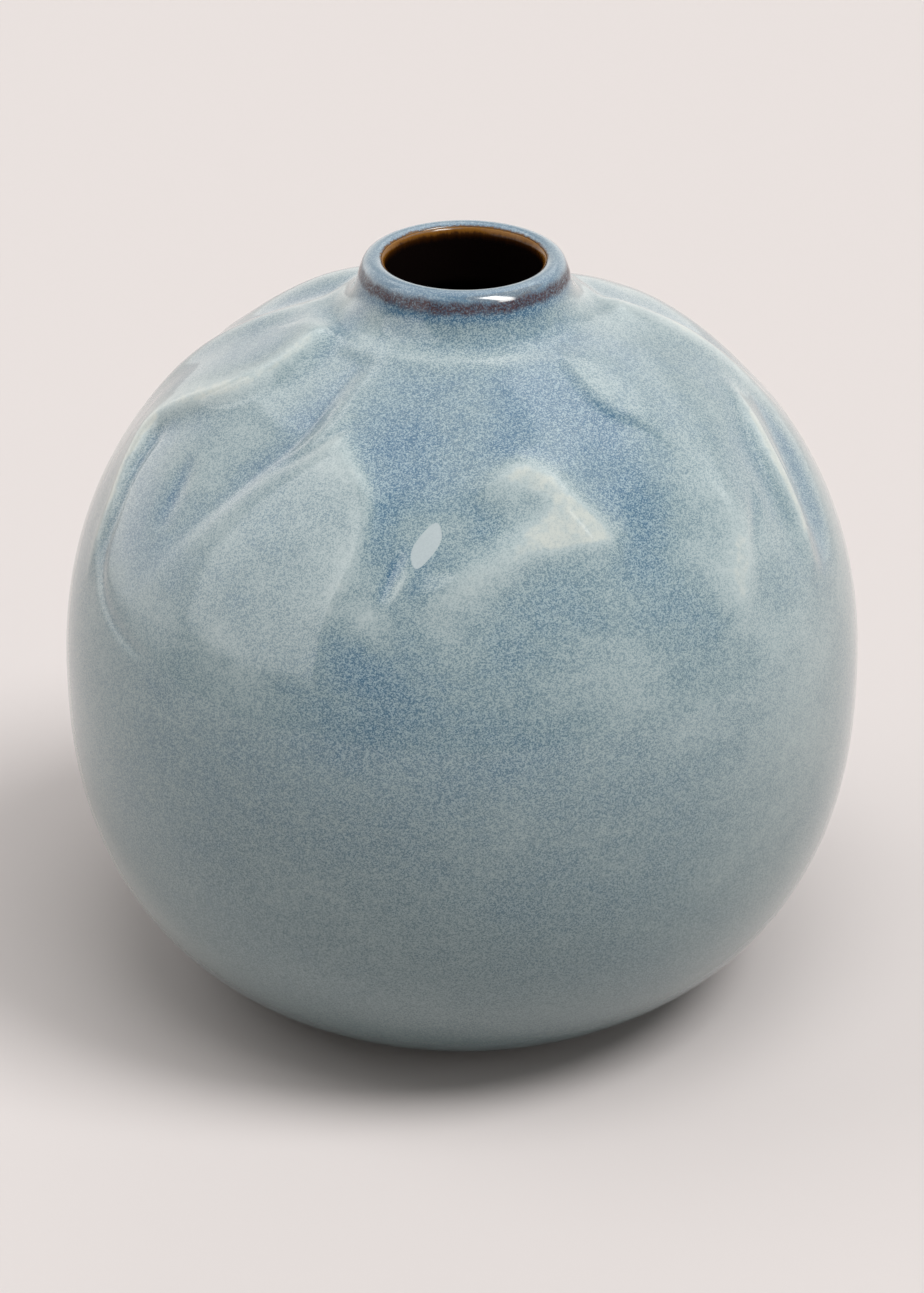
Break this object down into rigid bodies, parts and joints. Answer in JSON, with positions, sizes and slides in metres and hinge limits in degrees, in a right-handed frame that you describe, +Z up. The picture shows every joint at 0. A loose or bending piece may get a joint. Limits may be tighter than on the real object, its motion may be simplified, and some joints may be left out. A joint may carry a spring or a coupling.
{
  "type": "flower vase",
  "caption": "Round stoneware bud vase with a folded shoulder, a short neck with a rolled lip and a pale blue reactive glaze over a bare foot ring.",
  "frame": {"origin": "the middle of the circle that the foot ring stands on, which is also the middle of the underside of the bounding box", "axes": "+Z is up and along the neck, -Y is the front, +X is to the right seen from the front"},
  "size_m": [0.1598, 0.1598, 0.1548],
  "materials": {
    "bare_clay": "matte",
    "blue_glaze": "gloss",
    "brown_glaze": "gloss"
  },
  "bodies": {
    "root": {"stoneware_body": "bare_clay", "outer_glaze": "blue_glaze", "liner_glaze": "brown_glaze"}
  },
  "joints": []
}
